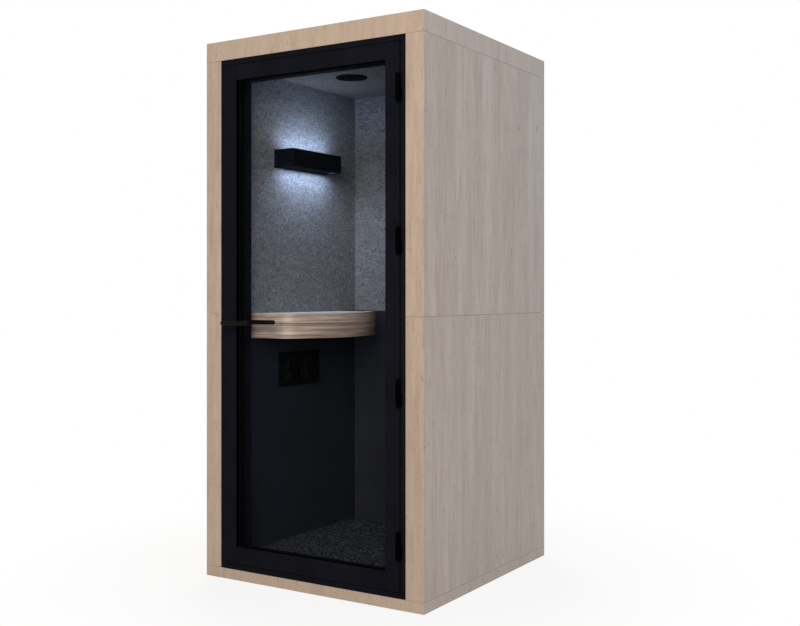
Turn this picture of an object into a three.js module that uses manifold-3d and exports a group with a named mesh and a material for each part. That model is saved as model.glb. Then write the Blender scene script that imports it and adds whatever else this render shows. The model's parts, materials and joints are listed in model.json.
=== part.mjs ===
// A one-person acoustic pod: a wood-clad cabin with a glazed door, a wall desk, a wall lamp and air vents.
// Millimetres. X runs to the right, Y to the back and Z up. The origin is on the floor, under the middle.
import * as THREE from 'three';
import { mergeVertices } from 'three/addons/utils/BufferGeometryUtils.js';
import Module from 'manifold-3d';

// Clearances
const FIT = 0.3; // between pieces that seat on each other
const SEAM = 0.8; // gap between neighbouring wood panels
const OVERCUT = 1; // how far a cutting tool runs past what it cuts

// Cabin
const WIDTH = 1000;
const DEPTH = 1000;
const HEIGHT = 2100;
const WALL = 75;
const ROOF = 75;
const BASE = 40;
const CASING = 16; // wood skin of the walls and the roof
const LINING = 12; // felt or board on the inner faces
const LOWER_WALL = 992.5; // height of the lower wall panels
const DECK = 25;
const CARPET = 8;
const CEILING = 9;

// Door frame and door leaf
const FRAME_DEPTH = 140;
const JAMB_FACE = 21; // beside the leaf
const JAMB_STOP = 36; // behind the leaf
const HEAD_FACE = 21;
const HEAD_STOP = 68;
const SILL_FACE = 21;
const LEAF_GAP = 3;
const LEAF_THICK = 40;
const LEAF_PROUD = 5; // of the frame's front
const STILE = 58;
const TOP_RAIL = 61;
const BOTTOM_RAIL = 69;
const SEAL_GAP = 3; // from the leaf's back to the stop
const SEAL_WIDTH = 9;
const GLASS = 10;
const GLASS_SET = 20; // from the leaf's front to the glass
const GLASS_BITE = 10; // of the glass edge in the leaf frame
const GASKET = 3; // rubber round the glass edge
const GASKET_LIP = 2; // rubber that shows past the leaf frame

// Lift-off barrel hinges
const HINGES = 4;
const HINGE_PITCH = 536;
const HINGE_RADIUS = 9;
const HINGE_HALF = 49; // height of one half
const HINGE_PIN = 4.5;
const HINGE_PIN_RISE = 36;
const HINGE_PAD_INSET = 3; // from the barrel's ends to its pad

// Lever handle and latch
const HANDLE_HEIGHT = 1000;
const BACKSET = 32; // from the leaf's edge to the spindle
const LEVER_RADIUS = 9;
const LEVER_REACH = 134; // from the spindle to the lever's tip
const LEVER_STAND = 60; // from the leaf's face to the lever's middle
const LEVER_BEND = 16;
const ROSE = 8;
const OUTER_ROSE_RADIUS = 25;
const INNER_ROSE_RADIUS = 16;
const SPINDLE = 8;
const SPINDLE_BITE = 18; // spindle held in the inner lever
const BOLT_HEIGHT = 20;
const BOLT_THICK = 12;
const BOLT_THROW = 11; // past the leaf's edge
const BOLT_TAIL = 12; // inside the leaf
const BOLT_TRAVEL = 10;
const STRIKE_HEIGHT = 110;
const STRIKE_WIDTH = 24;
const STRIKE = 2;

// Desk on the left wall
const DESK_CLEAR = 40; // from the door frame to the desk's end
const DESK_DEPTH = 285; // at the middle of the bow
const DESK_BOW = 100; // how much less deep its ends are
const DESK_CORNER = 60;
const DESK_BAND = 100; // height of the bent band
const DESK_BAND_THICK = 15;
const DESK_BOARD = 18;
const CLEAT_INSET = 60; // from the desk's ends
const CLEAT_HEIGHT = 45;
const CLEAT_DEPTH = 32;

// Lamp on the left wall
const LAMP_LENGTH = 340;
const LAMP_DEPTH = 103;
const LAMP_HEIGHT = 75;
const LAMP_MIDDLE = 1677; // height above the floor
const LAMP_SHEET = 4;
const LAMP_RECESS = 18; // from the lamp's rim to its light guide

// Twin fan panel under the desk
const FAN_MIDDLE = 792; // height above the floor
const FAN_SIZE = 120;
const FAN_DEPTH = 25;
const FAN_BORE = 56; // radius
const FAN_PANEL_SIDE = 20; // panel past the fans at each end
const FAN_PANEL_EDGE = 13; // panel past the fans above and below
const FAN_PANEL = 6;
const GUARD_RINGS = 3;
const GUARD_WIRE = 3;
const GUARD_CAP = 19; // radius of the plain disc before the motor
const SPIDER = 5;
const SPIDER_ARM = 6;
const SHAFT = 2; // radius
const SHAFT_RISE = 11; // above the spider
const HUB = 20; // radius
const HUB_DEPTH = 14;
const BLADES = 7;
const BLADE_TIP = 53; // radius
const BLADE_CHORD = 21;
const BLADE_THICK = 2;
const BLADE_PITCH = THREE.MathUtils.degToRad(35);
const INTAKE_MIDDLE = 430; // height above the floor, below the fans so that the air path bends
const INTAKE_SLOTS = 10;
const INTAKE_SLOT = 8; // width
const INTAKE_LENGTH = 100;
const INTAKE_PITCH = 22;

// Air valve in the ceiling
const VALVE_INSET = 275; // from the left wall
const VALVE_RIM = 66; // radius
const VALVE_RIM_THICK = 4;
const VALVE_BORE = 48; // radius
const VALVE_SPIGOT = 3; // wall of the pipe above the rim
const VALVE_SPIGOT_RISE = 44;
const VALVE_DISC = 46; // radius
const VALVE_DISC_THICK = 5;
const VALVE_STEM = 5; // radius
const VALVE_STEM_RISE = 38;
const VALVE_BOSS = 10; // radius
const VALVE_BRIDGE_RISE = 14; // bridge above the rim's face
const VALVE_BRIDGE = 8;
const VALVE_BRIDGE_WIDTH = 10;
const OUTLET_SLOTS = 7;
const OUTLET_SLOT = 6; // width
const OUTLET_PITCH = 13;

// Levelling feet in the base
const FOOT_INSET = 90; // from the cabin's sides
const FOOT_RADIUS = 24;
const FOOT_PAD = 8;
const FOOT_STEM = 6; // radius
const FOOT_STEM_RISE = 27;

// Cable gland in the back wall
const GLAND_INSET = 170; // from the cabin's right side
const GLAND_HEIGHT = 130;
const GLAND_FLANGE = 18; // radius
const GLAND_FLANGE_THICK = 3;
const GLAND_BODY = 12; // radius

// Round shapes
const ROUND = 40; // sides of a large circle
const SMALL_ROUND = 24;
const CURVE = 20; // steps of one arc
const BAR_STEPS = 28; // along a bent bar
const BAR_HALF = 9; // half the sides of a round bar

// Planes that the pieces share
const FRONT = -DEPTH / 2;
const REAR = DEPTH / 2;
const INNER_X = WIDTH / 2 - WALL;
const INNER_REAR = REAR - WALL;
const WALL_TOP = HEIGHT - ROOF;
const SPLIT = BASE + LOWER_WALL;
const DECK_TOP = BASE + DECK;
const FLOOR = DECK_TOP + CARPET;
const SOFFIT = WALL_TOP - CEILING;
const FRAME_BACK = FRONT + FRAME_DEPTH;
const LEAF_X = INNER_X - JAMB_FACE - LEAF_GAP;
const LEAF_LOW = BASE + SILL_FACE + LEAF_GAP;
const LEAF_HIGH = WALL_TOP - HEAD_FACE - LEAF_GAP;
const LEAF_FRONT = FRONT - LEAF_PROUD;
const LEAF_BACK = LEAF_FRONT + LEAF_THICK;
const STOP_PLANE = LEAF_BACK + SEAL_GAP;
const PANE_X = LEAF_X - STILE;
const PANE_LOW = LEAF_LOW + BOTTOM_RAIL;
const PANE_HIGH = LEAF_HIGH - TOP_RAIL;
const SPINDLE_X = BACKSET - LEAF_X;
const HINGE_X = LEAF_X + LEAF_GAP / 2;
const HINGE_Y = LEAF_FRONT - FIT - HINGE_RADIUS;
const VALVE_X = VALVE_INSET - INNER_X;
const GLAND_X = WIDTH / 2 - GLAND_INSET;

// Materials
const paint = (color, roughness, metalness = 0) =>
  new THREE.MeshStandardMaterial({ color, roughness, metalness });
const oak = paint(0xb59f88, 0.55);
const plywood = paint(0xb89a72, 0.8);
const wool = paint(0x8c8a80, 1);
const felt = paint(0x6a6b70, 1);
const darkBoard = paint(0x232428, 0.85);
const ceilingFelt = paint(0x55585e, 1);
const carpetPile = paint(0x2b2d31, 1);
const blackLacquer = paint(0x18181b, 0.5);
const blackSteel = paint(0x141416, 0.45, 0.6);
const blackPlastic = paint(0x101012, 0.6);
const blackRubber = paint(0x0c0c0d, 0.9);
const zinc = paint(0x9a9b9d, 0.4, 0.9);
const deskWood = paint(0xa48b74, 0.5);
const deskTop = paint(0xc9c2ba, 0.5);
const opal = paint(0xf2f6ff, 0.4);
const glazing = paint(0xdfe6e6, 0.05);
glazing.transparent = true;
glazing.opacity = 0.2;

// Solids
const wasm = await Module();
wasm.setup();

function solidOf(geometry) {
  const bare = geometry.clone();
  bare.deleteAttribute('normal');
  bare.deleteAttribute('uv');
  const merged = mergeVertices(bare);
  return new wasm.Manifold(new wasm.Mesh({
    numProp: 3,
    vertProperties: new Float32Array(merged.attributes.position.array),
    triVerts: new Uint32Array(merged.index.array),
  }));
}

function geometryOf(solid) {
  const { vertProperties, triVerts } = solid.getMesh();
  const geometry = new THREE.BufferGeometry();
  geometry.setAttribute('position', new THREE.BufferAttribute(vertProperties, 3));
  geometry.setIndex(new THREE.BufferAttribute(triVerts, 1));
  const facets = geometry.toNonIndexed();
  facets.computeVertexNormals();
  return facets;
}

const join = (...geometries) => geometryOf(geometries.map(solidOf).reduce((all, solid) => all.add(solid)));
const cut = (geometry, ...tools) =>
  geometryOf(tools.map(solidOf).reduce((rest, tool) => rest.subtract(tool), solidOf(geometry)));

// Each range is a low and a high coordinate.
function block([x0, x1], [y0, y1], [z0, z1]) {
  const box = new THREE.BoxGeometry(x1 - x0, y1 - y0, z1 - z0);
  return box.translate((x0 + x1) / 2, (y0 + y1) / 2, (z0 + z1) / 2);
}

function prism(shape, [z0, z1]) {
  const settings = { depth: z1 - z0, bevelEnabled: false, curveSegments: CURVE };
  return new THREE.ExtrudeGeometry(shape, settings).translate(0, 0, z0);
}

const outline = (points) => new THREE.Shape(points.map(([x, y]) => new THREE.Vector2(x, y)));
const turned = (profile, sides) =>
  new THREE.LatheGeometry(profile.map(([radius, rise]) => new THREE.Vector2(radius, rise)), sides);
const rod = (radius, [low, high], sides) =>
  turned([[0, low], [radius, low], [radius, high], [0, high]], sides);
const upright = (geometry) => geometry.rotateX(Math.PI / 2);
const sideways = (geometry) => geometry.rotateZ(-Math.PI / 2);
const centred = (middle, size) => [middle - size / 2, middle + size / 2];
const mirrored = (half) => [-half, half];
const spread = (count, pitch) => Array.from({ length: count }, (_, i) => (i - (count - 1) / 2) * pitch);

function piece(name, geometry, material, position = [0, 0, 0]) {
  const mesh = new THREE.Mesh(geometry, material);
  mesh.name = name;
  mesh.position.set(...position);
  return mesh;
}

function assembly(...members) {
  const group = new THREE.Group();
  group.add(...members);
  return group;
}

// Base, floor and feet
const feet = ['left', 'right'].flatMap((side) => ['front', 'back'].map((end) => ({
  name: `foot_${end}_${side}`,
  x: (side === 'left' ? -1 : 1) * (WIDTH / 2 - FOOT_INSET),
  y: (end === 'front' ? -1 : 1) * (DEPTH / 2 - FOOT_INSET),
})));

function footHole({ x, y }) {
  const hole = turned([
    [0, -OVERCUT],
    [FOOT_RADIUS + FIT * 2, -OVERCUT],
    [FOOT_RADIUS + FIT * 2, FOOT_PAD + FIT],
    [FOOT_STEM + FIT, FOOT_PAD + FIT],
    [FOOT_STEM + FIT, FOOT_PAD + FOOT_STEM_RISE + FIT],
    [0, FOOT_PAD + FOOT_STEM_RISE + FIT],
  ], SMALL_ROUND);
  return upright(hole).translate(x, y, 0);
}

function foot({ name, x, y }) {
  const shape = turned([
    [0, 0],
    [FOOT_RADIUS, 0],
    [FOOT_RADIUS, FOOT_PAD],
    [FOOT_STEM, FOOT_PAD],
    [FOOT_STEM, FOOT_PAD + FOOT_STEM_RISE],
    [0, FOOT_PAD + FOOT_STEM_RISE],
  ], SMALL_ROUND);
  return piece(name, upright(shape), zinc, [x, y, 0]);
}

function floor() {
  const insideX = mirrored(INNER_X - FIT);
  const insideY = [FRAME_BACK + FIT, INNER_REAR - FIT];
  const slab = block(mirrored(WIDTH / 2), mirrored(DEPTH / 2), [0, BASE]);
  const deck = block(insideX, insideY, [BASE - OVERCUT, DECK_TOP]);
  const carpet = block(insideX, insideY, [DECK_TOP + FIT, FLOOR]);
  return assembly(
    piece('base_platform', cut(join(slab, deck), ...feet.map(footHole)), oak),
    piece('carpet_tile', carpet, carpetPile),
    ...feet.map(foot),
  );
}

// Walls: a wood casing in two storeys, an acoustic core and inner linings
const storeys = [
  { storey: 'lower', casing: [BASE + SEAM, SPLIT - SEAM / 2], lining: [BASE + FIT, SPLIT - FIT / 2] },
  { storey: 'upper', casing: [SPLIT + SEAM / 2, WALL_TOP - SEAM], lining: [SPLIT + FIT / 2, WALL_TOP - FIT] },
];
const liningName = (wall, storey) => (storey === 'upper' ? `${wall}_felt_panel` : `${wall}_lower_lining`);
const liningMaterial = (storey) => (storey === 'upper' ? felt : darkBoard);
const CORE_RISE = [BASE + FIT, WALL_TOP - FIT];
const fanY = mirrored(FAN_SIZE + FIT * 2);
const fanZ = centred(FAN_MIDDLE, FAN_SIZE + FIT * 4);
const fanDuct = block([-WIDTH / 2 - OVERCUT, OVERCUT - INNER_X], fanY, fanZ);
const airPath = block(
  [-WIDTH / 2 - OVERCUT, OVERCUT - INNER_X],
  fanY,
  [INTAKE_MIDDLE - INTAKE_LENGTH / 2, FAN_MIDDLE + FAN_SIZE / 2 + FIT * 2],
);
const intakeSlots = spread(INTAKE_SLOTS, INTAKE_PITCH).map((y) => block(
  [-WIDTH / 2 - OVERCUT, CASING + OVERCUT - WIDTH / 2],
  centred(y, INTAKE_SLOT),
  centred(INTAKE_MIDDLE, INTAKE_LENGTH),
));

function sideWall(wall, side) {
  const xs = (a, b) => (side < 0 ? [-b, -a] : [a, b]);
  const outer = WIDTH / 2;
  const channel = outline([
    [side * outer, FRONT],
    [side * INNER_X, FRONT],
    [side * INNER_X, FRONT + CASING],
    [side * (outer - CASING), FRONT + CASING],
    [side * (outer - CASING), REAR - CASING],
    [side * INNER_X, REAR - CASING],
    [side * INNER_X, REAR],
    [side * outer, REAR],
  ]);
  const hasFans = side < 0;
  const run = mirrored(DEPTH / 2 - CASING - FIT);
  const core = block(xs(INNER_X + LINING + FIT, outer - CASING - FIT), run, CORE_RISE);
  const group = assembly(piece(`${wall}_wall_core`, hasFans ? cut(core, airPath) : core, wool));
  for (const { storey, casing, lining } of storeys) {
    const fansHere = hasFans && storey === 'lower';
    const skin = prism(channel, casing);
    const board = block(xs(INNER_X, INNER_X + LINING), run, lining);
    group.add(
      piece(`${wall}_wall_${storey}_casing`, fansHere ? cut(skin, ...intakeSlots) : skin, oak),
      piece(liningName(wall, storey), fansHere ? cut(board, fanDuct) : board, liningMaterial(storey)),
    );
  }
  return group;
}

function glandShape(clearance, overcut) {
  const body = GLAND_BODY + clearance;
  const flange = GLAND_FLANGE + clearance;
  const shoulder = -GLAND_FLANGE_THICK - clearance;
  const end = -CASING - overcut;
  const profile = [
    [0, end],
    [body, end],
    [body, shoulder],
    [flange, shoulder],
    [flange, overcut],
    [0, overcut],
  ];
  return turned(profile, SMALL_ROUND).translate(GLAND_X, REAR, GLAND_HEIGHT);
}

function backWall() {
  const run = mirrored(INNER_X - FIT);
  const coreDepth = [INNER_REAR + LINING + FIT, REAR - CASING - FIT];
  const group = assembly(
    piece('back_wall_core', block(run, coreDepth, CORE_RISE), wool),
    piece('cable_gland', glandShape(0, 0), blackRubber),
  );
  for (const { storey, casing, lining } of storeys) {
    const skin = block(run, [REAR - CASING, REAR], casing);
    const board = block(run, [INNER_REAR, INNER_REAR + LINING], lining);
    const finished = storey === 'lower' ? cut(skin, glandShape(FIT, OVERCUT)) : skin;
    group.add(
      piece(`back_wall_${storey}_casing`, finished, oak),
      piece(liningName('back', storey), board, liningMaterial(storey)),
    );
  }
  return group;
}

// Roof, ceiling and the air valve
function roof() {
  const coreX = mirrored(WIDTH / 2 - CASING - FIT);
  const coreY = mirrored(DEPTH / 2 - CASING - FIT);
  const slab = block(mirrored(WIDTH / 2), mirrored(DEPTH / 2), [WALL_TOP, HEIGHT]);
  const hollow = block(
    mirrored(WIDTH / 2 - CASING),
    mirrored(DEPTH / 2 - CASING),
    [WALL_TOP - OVERCUT, HEIGHT - CASING],
  );
  const slots = spread(OUTLET_SLOTS, OUTLET_PITCH).map((y) => block(
    centred(VALVE_X, 2 * Math.sqrt(VALVE_BORE ** 2 - y ** 2)),
    centred(y, OUTLET_SLOT),
    [HEIGHT - CASING - OVERCUT, HEIGHT + OVERCUT],
  ));
  const duct = upright(rod(VALVE_BORE + VALVE_SPIGOT + FIT, [SOFFIT - OVERCUT, HEIGHT], ROUND))
    .translate(VALVE_X, 0, 0);
  const core = block(coreX, coreY, [WALL_TOP, HEIGHT - CASING - FIT]);
  const ceiling = block(
    mirrored(INNER_X - FIT),
    [FRAME_BACK + FIT, INNER_REAR - FIT],
    [SOFFIT, WALL_TOP - FIT],
  );
  return assembly(
    piece('roof_casing', cut(slab, hollow, ...slots), oak),
    piece('roof_core', cut(core, duct), wool),
    piece('ceiling_panel', cut(ceiling, duct), ceilingFelt),
  );
}

function airValve() {
  const low = -FIT - VALVE_RIM_THICK;
  const pipe = VALVE_BORE + VALVE_SPIGOT;
  const bridgeRise = [low + VALVE_BRIDGE_RISE, low + VALVE_BRIDGE_RISE + VALVE_BRIDGE];
  const rim = turned([
    [VALVE_BORE, low],
    [VALVE_RIM, low],
    [VALVE_RIM, -FIT],
    [pipe, -FIT],
    [pipe, VALVE_SPIGOT_RISE],
    [VALVE_BORE, VALVE_SPIGOT_RISE],
    [VALVE_BORE, low],
  ], ROUND);
  const bridge = block(mirrored(VALVE_BORE + OVERCUT), centred(0, VALVE_BRIDGE_WIDTH), bridgeRise);
  const boss = upright(rod(VALVE_BOSS, bridgeRise, SMALL_ROUND));
  const stemHole = upright(rod(VALVE_STEM + FIT, [low, VALVE_SPIGOT_RISE], SMALL_ROUND));
  const disc = turned([
    [0, low],
    [VALVE_DISC, low],
    [VALVE_DISC, low + VALVE_DISC_THICK],
    [VALVE_STEM, low + VALVE_DISC_THICK],
    [VALVE_STEM, low + VALVE_STEM_RISE],
    [0, low + VALVE_STEM_RISE],
  ], ROUND);
  const place = [VALVE_X, 0, SOFFIT];
  return assembly(
    piece('valve_ring', cut(join(upright(rim), bridge, boss), stemHole), blackPlastic, place),
    piece('valve_disc', upright(disc), blackPlastic, place),
  );
}

// Fixed door frame: L-shaped jambs, a head, a sill, the seal and the strike plate
const STOP_X = INNER_X - JAMB_STOP;
const FACE_X = INNER_X - JAMB_FACE;
const BOLT_Y = LEAF_FRONT + LEAF_THICK / 2;
const strikePlate = block(
  [-FACE_X - STRIKE, -FACE_X],
  centred(BOLT_Y, STRIKE_WIDTH),
  centred(HANDLE_HEIGHT, STRIKE_HEIGHT),
);
const strikeSeat = block(
  [-FACE_X - STRIKE - FIT, OVERCUT - FACE_X],
  centred(BOLT_Y, STRIKE_WIDTH + FIT * 2),
  centred(HANDLE_HEIGHT, STRIKE_HEIGHT + FIT * 2),
);
const boltPocket = block(
  [-LEAF_X - BOLT_THROW - FIT * 2, OVERCUT - FACE_X],
  centred(BOLT_Y, BOLT_THICK + FIT * 2),
  centred(HANDLE_HEIGHT, BOLT_HEIGHT + FIT * 2),
);

function jamb(side) {
  const outer = INNER_X - FIT;
  const plan = outline([
    [side * outer, FRONT],
    [side * FACE_X, FRONT],
    [side * FACE_X, STOP_PLANE],
    [side * STOP_X, STOP_PLANE],
    [side * STOP_X, FRAME_BACK],
    [side * outer, FRAME_BACK],
  ]);
  return prism(plan, [BASE + FIT, WALL_TOP - FIT]);
}

// A member between the jambs: wide beside the leaf, and narrow behind it where its stop is higher or lower.
function crossMember(faceRise, stopRise) {
  const wide = FACE_X - FIT;
  const narrow = STOP_X - FIT;
  const plan = outline([
    [-wide, FRONT],
    [wide, FRONT],
    [wide, STOP_PLANE - FIT],
    [narrow, STOP_PLANE - FIT],
    [narrow, FRAME_BACK],
    [-narrow, FRAME_BACK],
    [-narrow, STOP_PLANE - FIT],
    [-wide, STOP_PLANE - FIT],
  ]);
  return join(prism(plan, faceRise), block(mirrored(narrow), [STOP_PLANE, FRAME_BACK], stopRise));
}

function doorSeal() {
  const outer = STOP_X + SEAL_WIDTH;
  const low = FLOOR + FIT;
  const high = WALL_TOP - HEAD_STOP;
  const arch = outline([
    [-outer, low],
    [-STOP_X, low],
    [-STOP_X, high],
    [STOP_X, high],
    [STOP_X, low],
    [outer, low],
    [outer, high + SEAL_WIDTH],
    [-outer, high + SEAL_WIDTH],
  ]);
  return upright(prism(arch, [FIT - STOP_PLANE, -LEAF_BACK - FIT]));
}

function doorFrame() {
  const headFace = WALL_TOP - HEAD_FACE;
  const sillFace = BASE + SILL_FACE;
  const head = crossMember([headFace, WALL_TOP - FIT], [WALL_TOP - HEAD_STOP, headFace + OVERCUT]);
  const sill = crossMember([BASE + FIT, sillFace], [sillFace - OVERCUT, FLOOR]);
  return assembly(
    piece('jamb_latch_side', cut(jamb(-1), strikeSeat, boltPocket), blackLacquer),
    piece('jamb_hinge_side', jamb(1), blackLacquer),
    piece('door_head', head, blackLacquer),
    piece('door_sill', sill, blackLacquer),
    piece('door_seal', doorSeal(), blackRubber),
    piece('strike_plate', cut(strikePlate, boltPocket), zinc),
  );
}

// Door leaf: stiles and rails grooved for a pane in a rubber gasket
const GLASS_FRONT = LEAF_FRONT + GLASS_SET;
const GLASS_BACK = GLASS_FRONT + GLASS;
const GROOVE = GLASS_BITE + FIT + GASKET;
const SPINDLE_HOLE = SPINDLE / Math.SQRT2 + FIT;

// A block over the glazed opening, larger than it by the margin on every side.
const pane = (margin, depth) =>
  block(mirrored(PANE_X + margin), depth, [PANE_LOW - margin, PANE_HIGH + margin]);
const aroundGlass = (clearance) => [GLASS_FRONT - clearance, GLASS_BACK + clearance];

function doorLeaf() {
  const depth = [LEAF_FRONT, LEAF_BACK];
  const railX = mirrored(PANE_X - FIT);
  const groove = pane(GROOVE + FIT, aroundGlass(GASKET + FIT * 2));
  const mortise = block(
    [-LEAF_X - OVERCUT, BOLT_TAIL + BOLT_TRAVEL + FIT * 2 - LEAF_X],
    centred(BOLT_Y, BOLT_THICK + FIT * 2),
    centred(HANDLE_HEIGHT, BOLT_HEIGHT + FIT * 2),
  );
  const spindleHole = rod(SPINDLE_HOLE, [LEAF_FRONT - OVERCUT, LEAF_BACK + OVERCUT], SMALL_ROUND)
    .translate(SPINDLE_X, 0, HANDLE_HEIGHT);
  const latchStile = block([-LEAF_X, -PANE_X], depth, [LEAF_LOW, LEAF_HIGH]);
  const hingeStile = block([PANE_X, LEAF_X], depth, [LEAF_LOW, LEAF_HIGH]);
  const topRail = block(railX, depth, [PANE_HIGH, LEAF_HIGH]);
  const bottomRail = block(railX, depth, [LEAF_LOW, PANE_LOW]);
  const gasket = cut(
    pane(GROOVE, aroundGlass(GASKET + FIT)),
    pane(-GASKET_LIP, aroundGlass(GASKET + FIT + OVERCUT)),
    pane(GLASS_BITE + FIT, aroundGlass(FIT)),
  );
  return assembly(
    piece('stile_latch_side', cut(latchStile, groove, mortise, spindleHole), blackLacquer),
    piece('stile_hinge_side', cut(hingeStile, groove), blackLacquer),
    piece('door_top_rail', cut(topRail, groove), blackLacquer),
    piece('door_bottom_rail', cut(bottomRail, groove), blackLacquer),
    piece('door_glass', pane(GLASS_BITE, aroundGlass(0)), glazing),
    piece('glazing_gasket', gasket, blackRubber),
  );
}

// Hinges: the lower half and its pin stay on the jamb, the upper half lifts off with the leaf
function hinge(number, height) {
  const padHalf = [LEAF_GAP / 2, HINGE_RADIUS];
  const padRise = [HINGE_PAD_INSET, HINGE_HALF - HINGE_PAD_INSET];
  const lower = upright(rod(HINGE_RADIUS, [-HINGE_HALF, -FIT / 2], SMALL_ROUND));
  const pin = upright(rod(HINGE_PIN, [-HINGE_HALF / 2, HINGE_PIN_RISE], SMALL_ROUND));
  const framePad = block(padHalf, [0, FRONT - HINGE_Y - FIT], padRise.map((z) => z - HINGE_HALF));
  const upper = upright(rod(HINGE_RADIUS, [FIT / 2, HINGE_HALF], SMALL_ROUND));
  const leafPad = block(padHalf.map((x) => -x).reverse(), [0, LEAF_FRONT - HINGE_Y - FIT], padRise);
  const bore = upright(rod(HINGE_PIN + FIT, [-OVERCUT, HINGE_PIN_RISE + FIT], SMALL_ROUND));
  const place = [HINGE_X, HINGE_Y, height];
  return assembly(
    piece(`hinge_${number}_frame_half`, join(lower, pin, framePad), blackSteel, place),
    piece(`hinge_${number}_leaf_half`, cut(join(upper, leafPad), bore), blackSteel, place),
  );
}

// Handle: a lever and a rose on each face, the outer lever carrying the square spindle
const NECK = ROSE + FIT * 2;

// A bent round bar that leaves the leaf's face along Y, outwards by the sign, and turns to +X.
function leverBar(out) {
  const at = (x, y) => new THREE.Vector3(x, out * y, 0);
  const path = new THREE.CurvePath();
  path.add(new THREE.LineCurve3(at(0, NECK), at(0, LEVER_STAND - LEVER_BEND)));
  path.add(new THREE.QuadraticBezierCurve3(
    at(0, LEVER_STAND - LEVER_BEND),
    at(0, LEVER_STAND),
    at(LEVER_BEND, LEVER_STAND),
  ));
  path.add(new THREE.LineCurve3(at(LEVER_BEND, LEVER_STAND), at(LEVER_REACH, LEVER_STAND)));
  const section = new THREE.Shape().absarc(0, 0, LEVER_RADIUS, 0, Math.PI * 2);
  return new THREE.ExtrudeGeometry(section, { steps: BAR_STEPS, extrudePath: path, curveSegments: BAR_HALF });
}

function rose(radius) {
  const profile = [
    [SPINDLE_HOLE, FIT],
    [radius, FIT],
    [radius, FIT + ROSE],
    [SPINDLE_HOLE, FIT + ROSE],
    [SPINDLE_HOLE, FIT],
  ];
  return turned(profile, ROUND);
}

function handle() {
  const across = centred(0, SPINDLE);
  const spindle = block(across, [-NECK - LEVER_RADIUS, LEAF_THICK + NECK + SPINDLE_BITE], across);
  const loose = centred(0, SPINDLE + FIT * 2);
  const socket = block(loose, [NECK - OVERCUT, NECK + SPINDLE_BITE + FIT], loose);
  const bolt = outline([
    [-LEAF_X - BOLT_THROW, BOLT_Y - BOLT_THICK / 2],
    [BOLT_TAIL - LEAF_X, BOLT_Y - BOLT_THICK / 2],
    [BOLT_TAIL - LEAF_X, BOLT_Y + BOLT_THICK / 2],
    [-LEAF_X, BOLT_Y + BOLT_THICK / 2],
  ]);
  const outside = [SPINDLE_X, LEAF_FRONT, HANDLE_HEIGHT];
  const inside = [SPINDLE_X, LEAF_BACK, HANDLE_HEIGHT];
  return assembly(
    piece('lever_outer', join(leverBar(-1), spindle), blackSteel, outside),
    piece('lever_inner', cut(leverBar(1), socket), blackSteel, inside),
    piece('rose_outer', rose(OUTER_ROSE_RADIUS).rotateX(Math.PI), blackSteel, outside),
    piece('rose_inner', rose(INNER_ROSE_RADIUS), blackSteel, inside),
    piece('latch_bolt', prism(bolt, centred(HANDLE_HEIGHT, BOLT_HEIGHT)), zinc),
  );
}

// Desk: a bow-fronted board inside a bent band, on a cleat along the left wall
const DESK_HALF = -FRAME_BACK - DESK_CLEAR;
const BOW_RADIUS = (DESK_HALF ** 2 + DESK_BOW ** 2) / (2 * DESK_BOW);
const BOW_CENTRE = DESK_DEPTH - BOW_RADIUS;

// The desk's plan, X from the wall: two ends, two rounded corners and the bow, all inset alike.
function deskPlan(inset, start) {
  const corner = DESK_CORNER - inset;
  const cornerY = DESK_HALF - DESK_CORNER;
  const cornerX = BOW_CENTRE + Math.sqrt((BOW_RADIUS - DESK_CORNER) ** 2 - cornerY ** 2);
  const tangent = Math.atan2(cornerY, cornerX - BOW_CENTRE);
  const plan = new THREE.Shape();
  plan.moveTo(start, inset - DESK_HALF);
  plan.lineTo(cornerX, inset - DESK_HALF);
  plan.absarc(cornerX, -cornerY, corner, -Math.PI / 2, -tangent, false);
  plan.absarc(BOW_CENTRE, 0, BOW_RADIUS - inset, -tangent, tangent, false);
  plan.absarc(cornerX, cornerY, corner, tangent, Math.PI / 2, false);
  plan.lineTo(start, DESK_HALF - inset);
  return plan;
}

function desk() {
  const boardLow = SPLIT - DESK_BOARD;
  const band = prism(deskPlan(0, FIT), [SPLIT - DESK_BAND, SPLIT]);
  const inner = prism(deskPlan(DESK_BAND_THICK, -OVERCUT), [SPLIT - DESK_BAND - OVERCUT, SPLIT + OVERCUT]);
  const board = prism(deskPlan(DESK_BAND_THICK + FIT, FIT), [boardLow, SPLIT]);
  const cleatHigh = boardLow - FIT;
  const cleatEnds = mirrored(DESK_HALF - CLEAT_INSET);
  const cleat = block([FIT, CLEAT_DEPTH], cleatEnds, [cleatHigh - CLEAT_HEIGHT, cleatHigh]);
  const wall = [-INNER_X, 0, 0];
  return assembly(
    piece('desk_band', cut(band, inner), deskWood, wall),
    piece('desk_board', board, deskTop, wall),
    piece('desk_cleat', cleat, plywood, wall),
  );
}

// Lamp: a black sleeve open above and below, with a light guide inside
function lamp() {
  const across = [FIT, LAMP_DEPTH];
  const along = mirrored(LAMP_LENGTH / 2);
  const inset = ([low, high], by) => [low + by, high - by];
  const sleeve = cut(
    block(across, along, mirrored(LAMP_HEIGHT / 2)),
    block(inset(across, LAMP_SHEET), inset(along, LAMP_SHEET), mirrored(LAMP_HEIGHT / 2 + OVERCUT)),
  );
  const guide = block(
    inset(across, LAMP_SHEET + FIT),
    inset(along, LAMP_SHEET + FIT),
    mirrored(LAMP_HEIGHT / 2 - LAMP_RECESS),
  );
  const place = [-INNER_X, 0, LAMP_MIDDLE];
  return assembly(
    piece('lamp_sleeve', sleeve, blackSteel, place),
    piece('lamp_light_guide', guide, opal, place),
  );
}

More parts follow.
